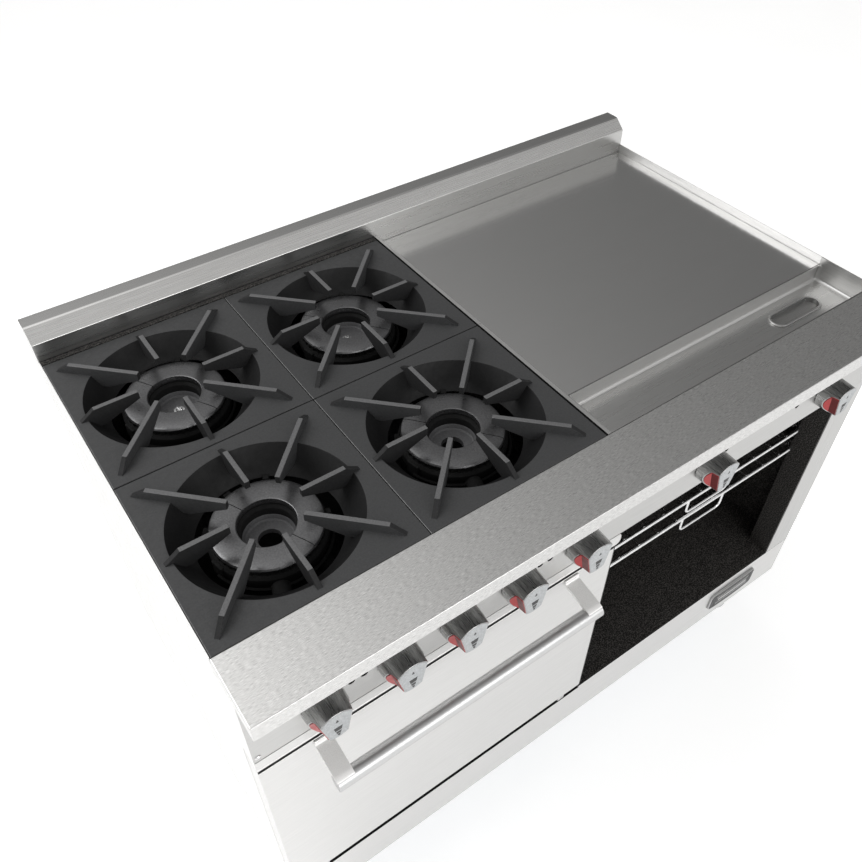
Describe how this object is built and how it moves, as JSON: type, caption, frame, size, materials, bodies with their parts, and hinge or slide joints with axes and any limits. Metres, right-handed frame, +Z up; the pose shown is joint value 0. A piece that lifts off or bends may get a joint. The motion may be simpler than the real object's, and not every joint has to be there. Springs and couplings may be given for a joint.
{
  "type": "commercial gas range",
  "caption": "Restaurant gas range with open burners under lift-off cast grates and a griddle, over an oven with a drop-down door and an open bay with pull-out wire racks.",
  "frame": {"origin": "middle of the range's overall footprint, on the floor", "axes": "+X to the right along the front, +Y towards the wall, +Z up"},
  "size_m": [1.2192, 0.78, 0.9609],
  "materials": {
    "brushed_steel": "brushed",
    "plain_steel": "satin",
    "knob_steel": "brushed",
    "griddle_steel": "ground",
    "galvanised_steel": "matte",
    "cast_iron": "matte",
    "burner_iron": "satin",
    "black_enamel": "gloss",
    "chrome_wire": "polished",
    "brass": "satin",
    "black_pipe": "satin",
    "fibre_gasket": "matte"
  },
  "bodies": {
    "range_body": {"left_side_panel": "brushed_steel", "right_side_panel": "brushed_steel", "bottom_front_rail": "brushed_steel", "right_stile": "brushed_steel", "top_ledge": "brushed_steel", "back_rail": "brushed_steel", "control_panel": "brushed_steel", "grease_trough": "brushed_steel", "badge": "brushed_steel", "leg_front_left": "plain_steel", "leg_front_right": "plain_steel", "leg_rear_left": "plain_steel", "leg_rear_right": "plain_steel", "door_hinge_left": "plain_steel", "door_hinge_right": "plain_steel", "back_panel": "galvanised_steel", "base_pan": "galvanised_steel", "centre_partition": "black_enamel", "cooktop_frame": "black_enamel", "oven_liner": "black_enamel", "bay_liner": "black_enamel", "gas_manifold": "black_pipe", "valve_front_left": "brass", "valve_rear_left": "brass", "valve_rear_right": "brass", "valve_front_right": "brass", "valve_oven": "brass", "valve_griddle_left": "brass", "valve_griddle_right": "brass", "burner_head_front_left": "burner_iron", "burner_base_front_left": "burner_iron", "burner_head_front_right": "burner_iron", "burner_base_front_right": "burner_iron", "burner_head_rear_left": "burner_iron", "burner_base_rear_left": "burner_iron", "burner_head_rear_right": "burner_iron", "burner_base_rear_right": "burner_iron", "griddle_plate": "griddle_steel", "griddle_burner_left": "black_pipe", "griddle_burner_right": "black_pipe", "oven_burner": "burner_iron", "oven_rack": "chrome_wire"},
    "oven_door": {"door_shell": "brushed_steel", "door_liner": "black_enamel", "door_gasket": "fibre_gasket", "door_handle": "brushed_steel"},
    "crumb_tray": {"crumb_tray": "brushed_steel"},
    "bay_rack_upper": {"bay_rack_upper": "chrome_wire"},
    "bay_rack_lower": {"bay_rack_lower": "chrome_wire"},
    "knob_front_left": {"knob_front_left": "knob_steel"},
    "knob_rear_left": {"knob_rear_left": "knob_steel"},
    "knob_rear_right": {"knob_rear_right": "knob_steel"},
    "knob_front_right": {"knob_front_right": "knob_steel"},
    "knob_oven": {"knob_oven": "knob_steel"},
    "knob_griddle_left": {"knob_griddle_left": "knob_steel"},
    "knob_griddle_right": {"knob_griddle_right": "knob_steel"},
    "grate_front_left": {"grate_front_left": "cast_iron"},
    "grate_front_right": {"grate_front_right": "cast_iron"},
    "grate_rear_left": {"grate_rear_left": "cast_iron"},
    "grate_rear_right": {"grate_rear_right": "cast_iron"}
  },
  "joints": [
    {"name": "oven_door_hinge", "type": "hinge", "parent": "range_body", "child": "oven_door", "pos_m": [0, -0.322, 0.2674], "axis": [1, 0, 0], "range_deg": [0, 90]},
    {"name": "knob_front_left_turn", "type": "hinge", "parent": "range_body", "child": "knob_front_left", "pos_m": [-0.509, -0.326, 0.7819], "axis": [0, -1, 0], "range_deg": [0, 180]},
    {"name": "knob_rear_left_turn", "type": "hinge", "parent": "range_body", "child": "knob_rear_left", "pos_m": [-0.399, -0.326, 0.7819], "axis": [0, -1, 0], "range_deg": [0, 180]},
    {"name": "knob_rear_right_turn", "type": "hinge", "parent": "range_body", "child": "knob_rear_right", "pos_m": [-0.302, -0.326, 0.7819], "axis": [0, -1, 0], "range_deg": [0, 180]},
    {"name": "knob_front_right_turn", "type": "hinge", "parent": "range_body", "child": "knob_front_right", "pos_m": [-0.199, -0.326, 0.7819], "axis": [0, -1, 0], "range_deg": [0, 180]},
    {"name": "knob_oven_turn", "type": "hinge", "parent": "range_body", "child": "knob_oven", "pos_m": [-0.082, -0.326, 0.7819], "axis": [0, -1, 0], "range_deg": [0, 270]},
    {"name": "knob_griddle_left_turn", "type": "hinge", "parent": "range_body", "child": "knob_griddle_left", "pos_m": [0.184, -0.326, 0.7819], "axis": [0, -1, 0], "range_deg": [0, 180]},
    {"name": "knob_griddle_right_turn", "type": "hinge", "parent": "range_body", "child": "knob_griddle_right", "pos_m": [0.476, -0.326, 0.7819], "axis": [0, -1, 0], "range_deg": [0, 180]},
    {"name": "grate_front_left_lift", "type": "slide", "parent": "range_body", "child": "grate_front_left", "axis": [0, 0, 1], "range_m": [0, 0.15]},
    {"name": "grate_front_right_lift", "type": "slide", "parent": "range_body", "child": "grate_front_right", "axis": [0, 0, 1], "range_m": [0, 0.15]},
    {"name": "grate_rear_left_lift", "type": "slide", "parent": "range_body", "child": "grate_rear_left", "axis": [0, 0, 1], "range_m": [0, 0.15]},
    {"name": "grate_rear_right_lift", "type": "slide", "parent": "range_body", "child": "grate_rear_right", "axis": [0, 0, 1], "range_m": [0, 0.15]},
    {"name": "crumb_tray_slide", "type": "slide", "parent": "range_body", "child": "crumb_tray", "axis": [0, -1, 0], "range_m": [0, 0.5]},
    {"name": "bay_rack_upper_slide", "type": "slide", "parent": "range_body", "child": "bay_rack_upper", "axis": [0, -1, 0], "range_m": [0, 0.45]},
    {"name": "bay_rack_lower_slide", "type": "slide", "parent": "range_body", "child": "bay_rack_lower", "axis": [0, -1, 0], "range_m": [0, 0.45]}
  ]
}
